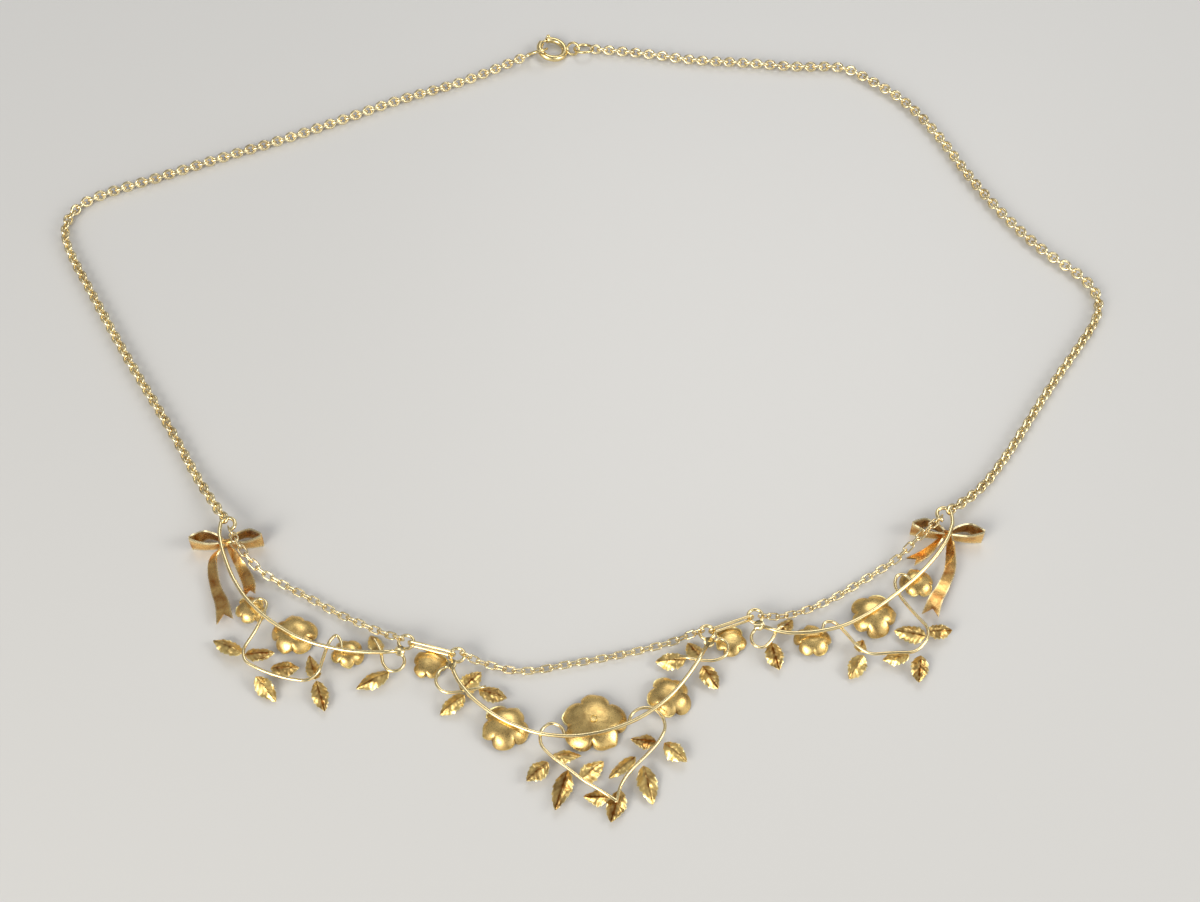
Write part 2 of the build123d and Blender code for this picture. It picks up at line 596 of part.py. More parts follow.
# The bolt ring leans on the left jump ring; its bolt turns about the ring's own axis.
lean = radians(bolt_tilt)
bolt_origin = spot(-4.0, 62.5, bolt_tube / 2 + bolt_ring_radius * sin(lean))
bolt_plane = Plane(origin=bolt_origin, x_dir=(cos(lean), 0, -sin(lean)), z_dir=(sin(lean), 0, cos(lean)))
tail_lean = radians(tail_ring_tilt)
tail_plane = Plane(origin=spot(-0.62, 62.7, 0.85), x_dir=(1, 0, 0), z_dir=(0, -sin(tail_lean), cos(tail_lean)))
right_lean = radians(right_jump_tilt)
right_jump_plane = Plane(origin=spot(1.13, 62.7, 0.85), x_dir=(1, 0, 0),
                         z_dir=(0, -sin(right_lean), cos(right_lean)))
left_out = Vector(cos(radians(left_jump_angle)), sin(radians(left_jump_angle)), 0)
left_lean = radians(left_jump_tilt)
left_jump_middle = spot(-4.0, 62.5, left_jump_z) + left_out * (bolt_ring_radius + left_jump_reach)
left_jump_axis = left_out.cross(Vector(0, 0, 1)) * sin(left_lean) + Vector(0, 0, cos(left_lean))
left_jump_plane = Plane(origin=left_jump_middle, x_dir=left_out, z_dir=left_jump_axis)

os.makedirs("parts", exist_ok=True)
pieces = []

for side, garland in garlands.items():
    write_piece(make_garland(garland), f"{side}_garland_wires")
write_piece(make_oval_link(garlands["left"]["rings"][0], garlands["centre"]["rings"][0]), "left_oval_link")
write_piece(make_oval_link(garlands["centre"]["rings"][1], garlands["right"]["rings"][0]), "right_oval_link")
for rose in roses:
    write_piece(make_rose(rose), rose["name"])
counts = {side: 0 for side in garlands}
for leaf in leaves:
    counts[leaf["garland"]] += 1
    write_piece(make_leaf(leaf), f"{leaf['garland']}_leaf_{counts[leaf['garland']]}")
for name, bow in bows.items():
    write_piece(make_bow(bow["knot"], bow["turn"], bow["tails"]), name)
for name, points in swags.items():
    write_piece(make_swag(points), name)
for name, chain in back_chains.items():
    write_piece(make_back_chain(chain["points"], chain["lifts"]), name)
write_piece(make_bolt_ring(bolt_plane), "bolt_ring")
write_piece(make_trigger(bolt_plane), "clasp_trigger")
write_piece(make_jump_ring(left_jump_plane, left_jump_radius), "left_jump_ring")
write_piece(make_jump_ring(right_jump_plane, right_jump_radius), "right_jump_ring")
print(len(pieces), "pieces")
print("bolt axis", bolt_plane.origin, bolt_plane.z_dir)
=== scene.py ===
import json
from math import cos, exp, pi, radians, sin

import bmesh
import bpy
import numpy as np
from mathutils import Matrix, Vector

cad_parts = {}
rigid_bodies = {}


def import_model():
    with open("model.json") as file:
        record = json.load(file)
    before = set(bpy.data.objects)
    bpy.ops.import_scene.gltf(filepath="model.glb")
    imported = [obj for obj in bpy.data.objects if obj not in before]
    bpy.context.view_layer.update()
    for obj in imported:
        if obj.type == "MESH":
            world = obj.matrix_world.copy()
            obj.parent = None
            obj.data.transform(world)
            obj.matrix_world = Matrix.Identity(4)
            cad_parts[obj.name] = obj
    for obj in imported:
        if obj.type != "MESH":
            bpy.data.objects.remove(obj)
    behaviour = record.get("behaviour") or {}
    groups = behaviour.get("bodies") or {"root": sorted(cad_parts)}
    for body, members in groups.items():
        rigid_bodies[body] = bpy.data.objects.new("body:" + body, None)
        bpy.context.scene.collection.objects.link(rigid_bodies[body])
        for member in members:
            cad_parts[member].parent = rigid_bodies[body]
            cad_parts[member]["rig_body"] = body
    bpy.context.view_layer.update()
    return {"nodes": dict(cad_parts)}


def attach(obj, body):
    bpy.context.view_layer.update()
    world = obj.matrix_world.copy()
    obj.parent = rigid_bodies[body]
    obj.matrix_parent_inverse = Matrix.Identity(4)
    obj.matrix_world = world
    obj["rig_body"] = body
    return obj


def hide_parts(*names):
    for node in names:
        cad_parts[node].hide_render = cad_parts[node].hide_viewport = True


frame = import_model()
nodes = frame["nodes"]
mm = 0.001  # every size below is in millimetres, and this takes it to metres
up = Vector((0, 0, 1))


# Small helpers

def hexColour(text):
    values = [int(text[i:i + 2], 16) / 255 for i in (0, 2, 4)]
    linear = [v / 12.92 if v <= 0.04045 else ((v + 0.055) / 1.055) ** 2.4 for v in values]
    return (*linear, 1.0)


def addNode(tree, kind, inputs=None, **settings):
    node = tree.nodes.new(kind)
    for name, value in settings.items():
        setattr(node, name, value)
    for name, value in (inputs or {}).items():
        if isinstance(value, bpy.types.NodeSocket):
            tree.links.new(value, node.inputs[name])
        else:
            node.inputs[name].default_value = value
    return node


def past(value, start):
    # 0 up to the start, then evenly up to 1 at 1
    return max(0, value - start) / (1 - start)


# Metals: 9 carat gold, each finished by the way it was worked

goldLooks = {
    # stamped sheet, bloomed in acid: a soft satin, with brown painted shade in the folds and a painted
    # highlight on the rims
    "bloomedStampedGold": {
        "plain": "F8D68A", "deep": "6A4018", "bright": "FFF0A8", "roughness": (0.24, 0.38),
        "patch": 1.5, "grain": 0.14, "bump": 0.006, "mottle": 0.50, "unevenness": 0.050},
    # thinner stamped sheet with more copper in it: crisp, with a painted highlight on its sawn edges and
    # red-brown painted shade along its ribs
    "copperyLeafGold": {
        "plain": "FBDB8C", "deep": "84501E", "bright": "FFF2B4", "roughness": (0.28, 0.42),
        "patch": 0.9, "grain": 0.12, "bump": 0.006, "mottle": 0.55, "unevenness": 0.040},
    # rolled strip bent cold: smoother than the roses, toned orange by heat in wide patches
    "rolledRibbonGold": {
        "plain": "F8CE80", "deep": "A8642A", "bright": "FFF2C0", "roughness": (0.22, 0.34),
        "patch": 1.3, "grain": 0.3, "bump": 0.003, "mottle": 0.60, "unevenness": 0.060},
    # drawn wire, pickled and hand polished: pale, nearly mirror smooth
    "drawnWireGold": {
        "plain": "F5E2AC", "deep": "C09A58", "bright": "FFF6D6", "roughness": (0.14, 0.24),
        "patch": 2.6, "grain": 0.25, "bump": 0.003, "mottle": 0.3, "unevenness": 0.010},
    # machine made links, tumbled bright: even and pale
    "tumbledChainGold": {
        "plain": "F6E6B8", "deep": "A88450", "bright": "FFF6D8", "roughness": (0.18, 0.28),
        "patch": 3.2, "grain": 0.3, "bump": 0.003, "mottle": 0.35, "unevenness": 0.0},
    # bought-in clasp and rings of tube and wire: a greener gold with fine wear
    "tubeClaspGold": {
        "plain": "F2DCA0", "deep": "B49452", "bright": "FFF4D2", "roughness": (0.14, 0.28),
        "patch": 2.0, "grain": 0.22, "bump": 0.004, "mottle": 0.3, "unevenness": 0.008},
}
goldPattern = {
    "patchDetail": 3.0, "patchRange": (0.42, 0.72), "grainDetail": 2.0, "grainRange": (0.3, 0.7)}


def goldMaterial(name, look):
    material = bpy.data.materials.new(name)
    material.use_nodes = True
    tree = material.node_tree
    tree.nodes.clear()
    place = addNode(tree, "ShaderNodeTexCoord").outputs["Object"]
    inMm = addNode(tree, "ShaderNodeVectorMath", {0: place, "Scale": 1 / mm},
                   operation="SCALE").outputs[0]
    patches = addNode(tree, "ShaderNodeTexNoise", {
        "Vector": inMm, "Scale": 1 / look["patch"], "Detail": goldPattern["patchDetail"]}).outputs["Fac"]
    grain = addNode(tree, "ShaderNodeTexNoise", {
        "Vector": inMm, "Scale": 1 / look["grain"], "Detail": goldPattern["grainDetail"]}).outputs["Fac"]
    shade = addNode(tree, "ShaderNodeAttribute", attribute_name="shade").outputs["Fac"]
    wear = addNode(tree, "ShaderNodeAttribute", attribute_name="wear").outputs["Fac"]
    # painted shade: the deep colour is laid into folds, hollows and shaded sides by the shade attribute,
    # and in random patches over the rest as the metal's own mottled tone
    patchFrom, patchTo = goldPattern["patchRange"]
    mottle = addNode(tree, "ShaderNodeMapRange", {
        "Value": patches, "From Min": patchFrom, "From Max": patchTo, "To Max": look["mottle"]})
    toned = addNode(tree, "ShaderNodeMath", {0: shade, 1: mottle.outputs["Result"]},
                    operation="ADD", use_clamp=True)
    base = addNode(tree, "ShaderNodeMix", {
        "Factor": toned.outputs[0], "A": hexColour(look["plain"]), "B": hexColour(look["deep"])},
        data_type="RGBA")
    # painted highlight: the bright colour is laid along rims and edges
    worn = addNode(tree, "ShaderNodeMix", {
        "Factor": wear, "A": base.outputs["Result"], "B": hexColour(look["bright"])}, data_type="RGBA")
    low, high = look["roughness"]
    grainFrom, grainTo = goldPattern["grainRange"]
    rough = addNode(tree, "ShaderNodeMapRange", {
        "Value": grain, "From Min": grainFrom, "From Max": grainTo, "To Min": low, "To Max": high})
    # the slow waves of hand-worked metal, then its fine grain
    uneven = addNode(tree, "ShaderNodeBump", {"Height": patches, "Distance": look["unevenness"] * mm})
    relief = addNode(tree, "ShaderNodeBump", {
        "Height": grain, "Distance": look["bump"] * mm, "Normal": uneven.outputs["Normal"]})
    surface = addNode(tree, "ShaderNodeBsdfPrincipled", {
        "Base Color": worn.outputs["Result"], "Metallic": 1.0, "Roughness": rough.outputs["Result"],
        "Normal": relief.outputs["Normal"]})
    addNode(tree, "ShaderNodeOutputMaterial", {"Surface": surface.outputs[0]})
    return material


golds = {name: goldMaterial(name, look) for name, look in goldLooks.items()}
print("metals ready")


# Meshes are gathered in a shape: points, faces, and two tones that the metals read: painted shade and a
# painted highlight

def newShape():
    return {"points": [], "faces": [], "shade": [], "wear": []}


def addPoint(shape, place, shade=0.0, wear=0.0):
    shape["points"].append(tuple(value * mm for value in place))
    shape["shade"].append(shade)
    shape["wear"].append(wear)
    return len(shape["points"]) - 1


def addSides(shape, rows, thickness, tones, closed):
    # the outer and inner side of a sheet about a grid of points; in a closed grid each row is a ring
    last = len(rows) - 1
    width = len(rows[0]) - 1
    sides = []
    for shift in (thickness / 2, -thickness / 2):
        side = []
        for i, row in enumerate(rows):
            line = []
            for j, point in enumerate(row):
                along = rows[min(i + 1, last)][j] - rows[max(i - 1, 0)][j]
                if closed:
                    across = row[(j + 1) % len(row)] - row[j - 1]
                else:
                    across = row[min(j + 1, width)] - row[max(j - 1, 0)]
                normal = along.cross(across).normalized()
                line.append(addPoint(shape, point + normal * shift, *tones[i][j]))
            side.append(line)
        sides.append(side)
    return sides


def addSheet(shape, rows, thickness, tones):
    # a sheet of even thickness, closed round its four edges
    last = len(rows) - 1
    width = len(rows[0]) - 1
    outer, inner = addSides(shape, rows, thickness, tones, False)
    faces = shape["faces"]
    for i in range(last):
        for j in range(width):
            faces.append((outer[i][j], outer[i + 1][j], outer[i + 1][j + 1], outer[i][j + 1]))
            faces.append((inner[i][j], inner[i][j + 1], inner[i + 1][j + 1], inner[i + 1][j]))
        faces.append((outer[i][0], inner[i][0], inner[i + 1][0], outer[i + 1][0]))
        faces.append((outer[i][width], outer[i + 1][width], inner[i + 1][width], inner[i][width]))
    for j in range(width):
        faces.append((outer[0][j], outer[0][j + 1], inner[0][j + 1], inner[0][j]))
        faces.append((outer[last][j], inner[last][j], inner[last][j + 1], outer[last][j + 1]))


def addTurned(shape, centre, profile, sides, shade=0.0, wear=0.0):
    # a turned form: its profile is radius and height, from one pole to the other
    rings = []
    for radius, height in profile:
        if radius == 0:
            rings.append([addPoint(shape, centre + up * height, shade, wear)])
            continue
        ring = []
        for i in range(sides):
            angle = 2 * pi * i / sides
            place = centre + Vector((radius * cos(angle), radius * sin(angle), height))
            ring.append(addPoint(shape, place, shade, wear))
        rings.append(ring)
    for low, high in zip(rings, rings[1:]):
        for i in range(sides):
            k = (i + 1) % sides
            corners = [low[i % len(low)], low[k % len(low)], high[k % len(high)], high[i % len(high)]]
            shape["faces"].append(tuple(dict.fromkeys(corners)))


def finishPiece(name, mesh, material, sharpAngle):
    mesh.materials.clear()
    mesh.materials.append(material)
    mesh.polygons.foreach_set("use_smooth", [True] * len(mesh.polygons))
    mesh.set_sharp_from_angle(angle=radians(sharpAngle))
    piece = bpy.data.objects.new(name, mesh)
    bpy.context.scene.collection.objects.link(piece)
    return piece


def makePiece(name, shape, material, sharpAngle=50):
    mesh = bpy.data.meshes.new(name)
    mesh.from_pydata(shape["points"], [], shape["faces"])
    for tone in ("shade", "wear"):
        attribute = mesh.attributes.new(tone, "FLOAT", "POINT")
        attribute.data.foreach_set("value", shape[tone])
    work = bmesh.new()
    work.from_mesh(mesh)
    bmesh.ops.recalc_face_normals(work, faces=work.faces)
    work.to_mesh(mesh)
    work.free()
    return finishPiece(name, mesh, material, sharpAngle)


def standFor(piece, node):
    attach(piece, nodes[node]["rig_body"])
    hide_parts(node)


def mergedPoints(node):
    # the corners of a solid, in millimetres
    places = np.array([tuple(v.co) for v in nodes[node].data.vertices]) / mm
    return np.unique(places.round(4), axis=0)


# Roses: domed cups stamped in one piece, rims cut and curled into petals, round a bud on a pin

roseLook = {
    "petals": 5, "columns": 18, "steps": 20, "thickness": 0.15, "hub": 0.45, "domePower": 1.4,
    "notch": 0.18, "crease": 0.14, "roundness": 3.0,  # the cuts between petals
    "petalPhase": 2.3, "uneven": 0.055,  # how much the petals differ
    "rimFrom": 0.45,  # share of the way from hub to rim at which the petals begin
    "shoulder": 0.07, "shoulderFrom": 0.40, "shoulderShift": 0.25,
    "point": 0.10, "pointAt": 0.3, "pointWidth": 0.35,
    "tuck": 0.20, "ruffle": 0.15, "ruffleTurn": 2.6, "rufflePhase": 2.0, "ruffleLift": 0.4,
    "curl": 0.42, "curlFrom": 0.82, "curlPhase": 1.7, "curlShare": 0.45,
    # painted shade in the creases and on some petals towards the rim, and a painted highlight on the
    # rims
    "creaseWidth": 0.10, "creaseShade": 0.7, "petalShade": 0.25, "rimBrightFrom": 0.95, "rimBright": 0.9,
    "cups": [  # share of the radius, drop of its top, height of its rim, turn
        (1.0, 0.0, 0.44, 0.0),
        (0.62, 0.42, 0.46, 36.0),
        (0.38, 0.66, 0.50, 10.0),
    ],
    "leastDepth": 0.3, "topDepth": 0.01,
    # the bud, which sits under the cups, is darkened with painted shade
    "budShare": 0.2, "budLift": 0.06, "budRings": 8, "budShade": 0.5, "stemRadius": 0.3, "stemSides": 16,
    "pinHeads": {"centre_rose_2": 0.18},  # roses whose pin has a head outside, and its height
    # the pin's two tones are painted shade and a painted highlight, spread evenly over it
    "pinRadius": 0.50, "pinSides": 28, "pinTones": (0.15, 0.3), "pinShank": 0.8, "pinLip": 0.05,
    "pinFace": [(0.94, 0.0), (0.80, 0.0), (0.66, 0.13), (0.0, 0.15)],  # share of its radius, depth
}


def cupPoint(radius, top, rim, phase, petal, u, v):
    # reach, height and tones of a petal's point: u goes across it, v from the hub to the rim
    look = roseLook
    own = sin(look["petalPhase"] * petal + phase)
    cut = abs(u) ** look["roundness"]
    sweep = v * pi / 2 * (1 - look["notch"] * cut)
    outer = past(v, look["rimFrom"])
    reach = look["hub"] + (radius - look["hub"]) * sin(sweep)
    reach *= 1 - look["crease"] * v * v * cut - look["uneven"] * v * v * (1 + own)
    shoulder = max(0, abs(u - look["shoulderShift"] * own) - look["shoulderFrom"])
    reach -= look["shoulder"] * radius * shoulder * outer
    point = max(0, 1 - abs(u - look["pointAt"]) / look["pointWidth"])
    reach += look["point"] * radius * max(0, own) * point * outer ** 2
    # each petal is tucked under the next, and its rim rolls outward and waves
    height = rim + (top - rim) * max(0, cos(sweep)) ** look["domePower"]
    height += look["tuck"] * u ** 3 * outer
    wave = sin(look["ruffleTurn"] * u + look["rufflePhase"] * own + phase) + look["ruffleLift"] * own
    height += look["ruffle"] * outer ** 2 * wave
    share = look["curlShare"] + (1 - look["curlShare"]) * sin(look["curlPhase"] * petal + phase)
    height += look["curl"] * past(v, look["curlFrom"]) ** 2 * share
    # painted shade darkens the creases between petals, and some petals are made darker towards the rim;
    # a painted highlight brightens the rim
    crease = exp(-((1 - abs(u)) / look["creaseWidth"]) ** 2) * outer
    shade = min(1, look["creaseShade"] * crease + look["petalShade"] * max(0, -own) * v)
    return reach, height, (shade, past(v, look["rimBrightFrom"]) * look["rimBright"])


def addCup(shape, centre, radius, top, rim, turn, phase):
    look = roseLook
    count = look["petals"] * look["columns"]
    last = look["steps"]
    grid = []
    tones = []
    for i in range(last + 1):
        row = []
        toneRow = []
        for j in range(count):
            petal, share = divmod(j / look["columns"], 1)
            reach, height, tone = cupPoint(radius, top, rim, phase, petal, 2 * share - 1, i / last)
            angle = turn + 2 * pi * j / count
            row.append(centre + Vector((reach * cos(angle), reach * sin(angle), height)))
            toneRow.append(tone)
        grid.append(row)
        tones.append(toneRow)
    outside, inside = addSides(shape, grid, look["thickness"], tones, True)
    half = look["thickness"] / 2
    hubs = [addPoint(shape, centre + up * (top + shift)) for shift in (half, -half)]
    for j in range(count):
        k = (j + 1) % count
        for i in range(last):
            shape["faces"].append((outside[i][j], outside[i + 1][j], outside[i + 1][k], outside[i][k]))
            shape["faces"].append((inside[i][j], inside[i][k], inside[i + 1][k], inside[i + 1][j]))
        shape["faces"].append((outside[last][j], inside[last][j], inside[last][k], outside[last][k]))
        shape["faces"].append((hubs[0], outside[0][j], outside[0][k]))
        shape["faces"].append((hubs[1], inside[0][k], inside[0][j]))


def makeRose(name):
    look = roseLook
    places = mergedPoints(name)
    top = float(places[:, 2].max())
    hub = places[places[:, 2] > top - look["topDepth"]].mean(axis=0)
    flat = places[:, :2] - hub[:2]
    reach = np.hypot(flat[:, 0], flat[:, 1])
    tip = flat[reach.argmax()]
    # the furthest point is the middle of a petal, half a petal on from where the cup's grid starts
    turn = float(np.arctan2(tip[1], tip[0])) - pi / look["petals"]
    radius = float(reach.max()) - look["thickness"] / 2
    head = look["pinHeads"].get(name, 0)
    cupTop = top - head - look["thickness"] / 2
    centre = Vector((hub[0], hub[1], 0))
    shape = newShape()
    for share, drop, rim, cupTurn in look["cups"]:
        if cupTop - drop - rim > look["leastDepth"]:
            phase = 5 * turn + drop  # so that no two cups wave alike
            addCup(shape, centre, radius * share, cupTop - drop, rim, turn + radians(cupTurn), phase)
    bud = look["budShare"] * radius
    lift = look["budLift"]
    rings = look["budRings"]
    ball = [(0, lift)]
    for i in range(1, rings):
        ball.append((bud * sin(pi * i / rings), bud + lift - bud * cos(pi * i / rings)))
    ball.append((0, 2 * bud + lift))
    addTurned(shape, centre, ball, look["stemSides"], look["budShade"])
    if head:
        # a flat riveted head with a raised edge
        pin = look["pinRadius"]
        shank = pin * look["pinShank"]
        lip = look["pinLip"]
        profile = [(0, bud), (shank, bud), (shank, cupTop), (pin, cupTop + lip), (pin, top - lip)]
        profile += [(pin * share, top - depth) for share, depth in look["pinFace"]]
        addTurned(shape, centre, profile, look["pinSides"], *look["pinTones"])
    else:
        stem = look["stemRadius"]
        addTurned(shape, centre, [(0, bud), (stem, bud), (stem, cupTop), (0, cupTop)], look["stemSides"])
    piece = makePiece(name + "_petals", shape, golds["bloomedStampedGold"])
    standFor(piece, name)


for nodeName in sorted(nodes):
    if "rose" in nodeName:
        makeRose(nodeName)
print("roses ready")


# Leaves: folded blades with sawn edges and raised veins, laid on the axis of each solid leaf

leafLook = {
    "thickness": 0.14, "steps": 36, "columns": 14, "endDepth": 0.12, "phaseStep": 1.9,
    "skew": 0.78, "fullness": 0.8, "leastWidth": 0.05,  # the outline
    "teeth": 6, "toothDepth": 0.17, "toothStart": 0.25, "toothRise": 6, "toothFall": 8, "toothEnd": 0.2,
    "vein": 0.07, "veinSlant": 1.1, "veinRise": 4,
    "curl": 0.26, "curlTurns": 1.3, "crumple": 0.09, "tipLift": 0.24,
    # painted shade along the midrib, between the veins and over whole leaves, as shade for how each
    # faces the light, and a painted highlight on the sawn edges
    "ribShade": 0.6, "ribWidth": 0.14, "veinShade": 0.22, "ownShade": 0.22,
    "edgeBright": 0.85, "edgeBrightFrom": 0.84,
}


def leafFacts(name):
    # ends, side direction, half width, and how far a solid leaf is arched, folded and rolled
    places = mergedPoints(name)
    gaps = np.linalg.norm(places[:, None] - places[None], axis=2)
    one, two = np.unravel_index(gaps.argmax(), gaps.shape)
    along = places[two] - places[one]
    reach = (places - places[one]) @ along / np.linalg.norm(along)
    ends = [places[reach < reach.min() + leafLook["endDepth"]].mean(axis=0),
            places[reach > reach.max() - leafLook["endDepth"]].mean(axis=0)]
    base, tip = sorted(ends, key=lambda end: -end[2])
    along = tip - base
    side = np.cross((0, 0, 1), along)
    side /= np.linalg.norm(side)
    t = (places - base) @ along / (along @ along)
    s = (places - base) @ side
    rise = places[:, 2] - base[2] - t * along[2]
    forms = np.stack([np.sin(pi * t.clip(0, 1)), -abs(s), s], axis=1)
    arch, fold, roll = np.linalg.lstsq(forms, rise, rcond=None)[0]
    return Vector(base), Vector(tip), Vector(side), abs(s).max(), arch, fold, roll


def makeLeaf(name, phase):
    look = leafLook
    base, tip, side, half, arch, fold, roll = leafFacts(name)
    own = sin(phase)
    shape = newShape()
    rows = []
    tones = []
    for i in range(look["steps"] + 1):
        t = i / look["steps"]
        tooth = (t * look["teeth"] + look["toothStart"]) % 1
        fade = min(1, look["toothRise"] * t) * min(1, look["toothFall"] * (1 - t) + look["toothEnd"])
        reach = half * max(look["leastWidth"], sin(pi * t ** look["skew"]) ** look["fullness"])
        reach *= 1 - look["toothDepth"] * (1 - tooth) * fade
        rib = base.lerp(tip, t) + up * (arch * sin(pi * t) + look["tipLift"] * own * t ** 4)
        row = []
        toneRow = []
        for j in range(look["columns"] + 1):
            u = 2 * j / look["columns"] - 1
            out = abs(u)
            slant = t * look["teeth"] - out * look["veinSlant"] + look["toothStart"]
            vein = abs(slant % 1 - 0.5) * 2
            rise = -fold * out * reach + roll * u * reach
            rise += look["vein"] * vein ** 3 * min(1, out * look["veinRise"]) * (1 - out / 2)
            bend = look["curl"] * u * out * sin(2 * pi * look["curlTurns"] * t + phase)
            bend += look["crumple"] * sin(9 * t + 3 * u + phase) * sin(4 * u - 5 * t + 2 * phase)
            rise += bend * sin(pi * t)
            row.append(rib + side * (u * reach) + up * rise)
            # painted shade along the midrib, between the veins and over the whole leaf by its phase; a
            # painted highlight on the sawn edge
            shade = look["ribShade"] * exp(-(u / look["ribWidth"]) ** 2)
            shade += look["veinShade"] * (1 - vein) + look["ownShade"] * own
            bright = look["edgeBright"] * past(out, look["edgeBrightFrom"])
            toneRow.append((min(1, max(0, shade)), bright))
        rows.append(row)
        tones.append(toneRow)
    addSheet(shape, rows, look["thickness"], tones)
    piece = makePiece(name + "_blade", shape, golds["copperyLeafGold"])
    standFor(piece, name)


for number, nodeName in enumerate(sorted(name for name in nodes if "leaf" in name)):
    makeLeaf(nodeName, leafLook["phaseStep"] * number)
print("leaves ready")


# Bows: strip on edge in two loops, gathered at a knot, with two forked tails

bowLook = {
    "thickness": 0.24, "reach": 4.9, "foldHeight": 2.9, "waistReach": 2.7, "waistHeight": 2.0,
    "knotLow": 0.5, "knotHigh": 1.75, "inset": 0.02, "runSteps": 7, "levels": 4, "crumpleStep": 0.55,
    # a painted highlight along the loops' top and bottom edges
    "loopWear": 0.8,
    "loopSides": [  # the line of each side of a loop, from the knot or back to it
        # each side's shade is painted shade, heavier on the loop's far wall
        {"line": [(0.35, -0.30), (1.8, -0.38), (3.4, -0.28), (4.45, -0.05), (4.78, 0.10)],
         "lean": -0.16, "crumple": 0.0, "shade": 0.1},
        {"line": [(4.78, 0.10), (4.1, 0.72), (2.9, 1.42), (1.5, 1.05), (0.35, 0.22)],
         "lean": 0.30, "crumple": 0.16, "shade": 0.55},
    ],
    "tailSteps": 6, "tailColumns": 8, "forkSteps": 5, "fork": 1.1,
    # painted shade in waves along each tail, and a painted highlight on its edges
    "tailShade": 0.35, "tailShadeStep": 0.35, "tailWear": 0.7,
    "knotSteps": 24, "knotColumns": 6, "knotHalf": 0.68, "knotDepth": 0.52, "knotWall": 0.8,
    # painted shade over the whole knot, and a painted highlight on its edges
    "knotPinch": 0.14, "knotSquare": (0.12, 0.05), "knotProud": 0.06, "knotShade": 0.25, "knotWear": 0.6,
    "bows": {
        "left_bow": {
            "knot": (-46.6, -28.7), "turn": 3,
            "tails": [  # x, y, z, half width and lean from upright
                [(-46.9, -29.1, 1.3, 0.6, 20), (-48.1, -30.9, 1.2, 0.65, 50),
                 (-47.9, -33.3, 1.3, 0.7, 75), (-47.2, -35.7, 1.0, 0.75, 80),
                 (-46.1, -38.1, 1.35, 0.95, 80), (-45.5, -40.6, 1.1, 1.15, 75)],
                [(-46.3, -29.2, 1.3, 0.6, 20), (-45.1, -31.0, 1.0, 0.65, 50),
                 (-43.9, -32.9, 0.6, 0.8, 75), (-43.0, -34.8, 0.9, 0.85, 80),
                 (-42.5, -37.0, 1.9, 0.75, 80)],
            ],
        },
        "right_bow": {
            "knot": (50.4, -27.3), "turn": -8,
            "tails": [
                [(49.8, -27.6, 1.3, 0.6, 20), (48.5, -29.0, 1.0, 0.65, 50),
                 (47.0, -30.2, 0.6, 0.75, 70), (45.1, -31.5, 1.0, 0.8, 80)],
                [(50.7, -27.9, 1.3, 0.6, 20), (50.6, -30.3, 1.2, 0.7, 50),
                 (50.2, -32.9, 1.3, 0.75, 75), (49.1, -35.3, 1.0, 0.8, 80),
                 (47.8, -37.5, 1.3, 0.95, 80), (46.9, -39.7, 1.1, 1.15, 75)],
            ],
        },
    },
}


def smoothRows(rows, parts):
    # rows of numbers joined by a curve that passes through each of them
    table = np.array(rows, float)
    ends = np.vstack([2 * table[0] - table[1], table, 2 * table[-1] - table[-2]])
    result = []
    for i in range(len(table) - 1):
        a, b, c, d = ends[i:i + 4]
        for k in range(parts):
            t = k / parts
            result.append(0.5 * (2 * b + (c - a) * t + (2 * a - 5 * b + 4 * c - d) * t ** 2
                                 + (3 * b - a - 3 * c + d) * t ** 3))
    result.append(table[-1])
    return result


def knotFrame(bow):
    # the knot's place on the floor, and the bow's own directions
    xAxis = Vector((cos(radians(bow["turn"])), sin(radians(bow["turn"])), 0))
    return Vector((*bow["knot"], 0)), xAxis, up.cross(xAxis)


def addBowLoop(shape, bow, hand):
    look = bowLook
    knot, xAxis, yAxis = knotFrame(bow)
    edges = (0, look["levels"])
    for side in look["loopSides"]:
        rows = []
        tones = []
        for n, (x, y) in enumerate(smoothRows(side["line"], look["runSteps"])):
            share = min(1, x / look["reach"])
            beyond = max(0, (x - look["waistReach"]) / (look["reach"] - look["waistReach"]))
            low = look["knotLow"] * (1 - share)
            high = look["knotHigh"]
            high += (look["waistHeight"] - look["knotHigh"]) * min(1, x / look["waistReach"])
            high += (look["foldHeight"] - look["waistHeight"]) * beyond
            wave = side["crumple"] * sin(n * look["crumpleStep"] + hand)
            row = []
            toneRow = []
            for k in range(look["levels"] + 1):
                level = k / look["levels"]
                lean = (level - 0.5) * side["lean"] + wave * sin(pi * level)
                height = low + look["inset"] + (high - low - 2 * look["inset"]) * level
                row.append(knot + xAxis * (hand * x) + yAxis * (y + lean * share) + up * height)
                # painted shade, heavier on the far wall and towards the knot, and a painted highlight on
                # the top and bottom edges
                wear = look["loopWear"] if k in edges else 0.0
                toneRow.append((side["shade"] * (1 - share / 2), wear))
            rows.append(row)
            tones.append(toneRow)
        addSheet(shape, rows, look["thickness"], tones)


def addTail(shape, rows):
    look = bowLook
    lines = smoothRows(rows, look["tailSteps"])
    middles = [Vector(line[:3]) for line in lines]
    last = len(lines) - 1
    edges = (0, look["tailColumns"])
    grid = []
    tones = []
    for i, line in enumerate(lines):
        half, lean = line[3], radians(line[4])
        along = (middles[min(i + 1, last)] - middles[max(i - 1, 0)]).normalized()
        across = up.cross(along).normalized() * sin(lean) + up * cos(lean)
        fork = look["fork"] * max(0, (i - last + look["forkSteps"]) / look["forkSteps"])
        # painted shade in waves along the tail
        shade = look["tailShade"] * abs(sin(i * look["tailShadeStep"]))
        row = []
        toneRow = []
        for k in range(look["tailColumns"] + 1):
            u = 2 * k / look["tailColumns"] - 1
            row.append(middles[i] + across * (u * half) - along * (fork * (1 - abs(u))))
            toneRow.append((shade, look["tailWear"] if k in edges else 0.0))
        grid.append(row)
        tones.append(toneRow)
    addSheet(shape, grid, look["thickness"], tones)


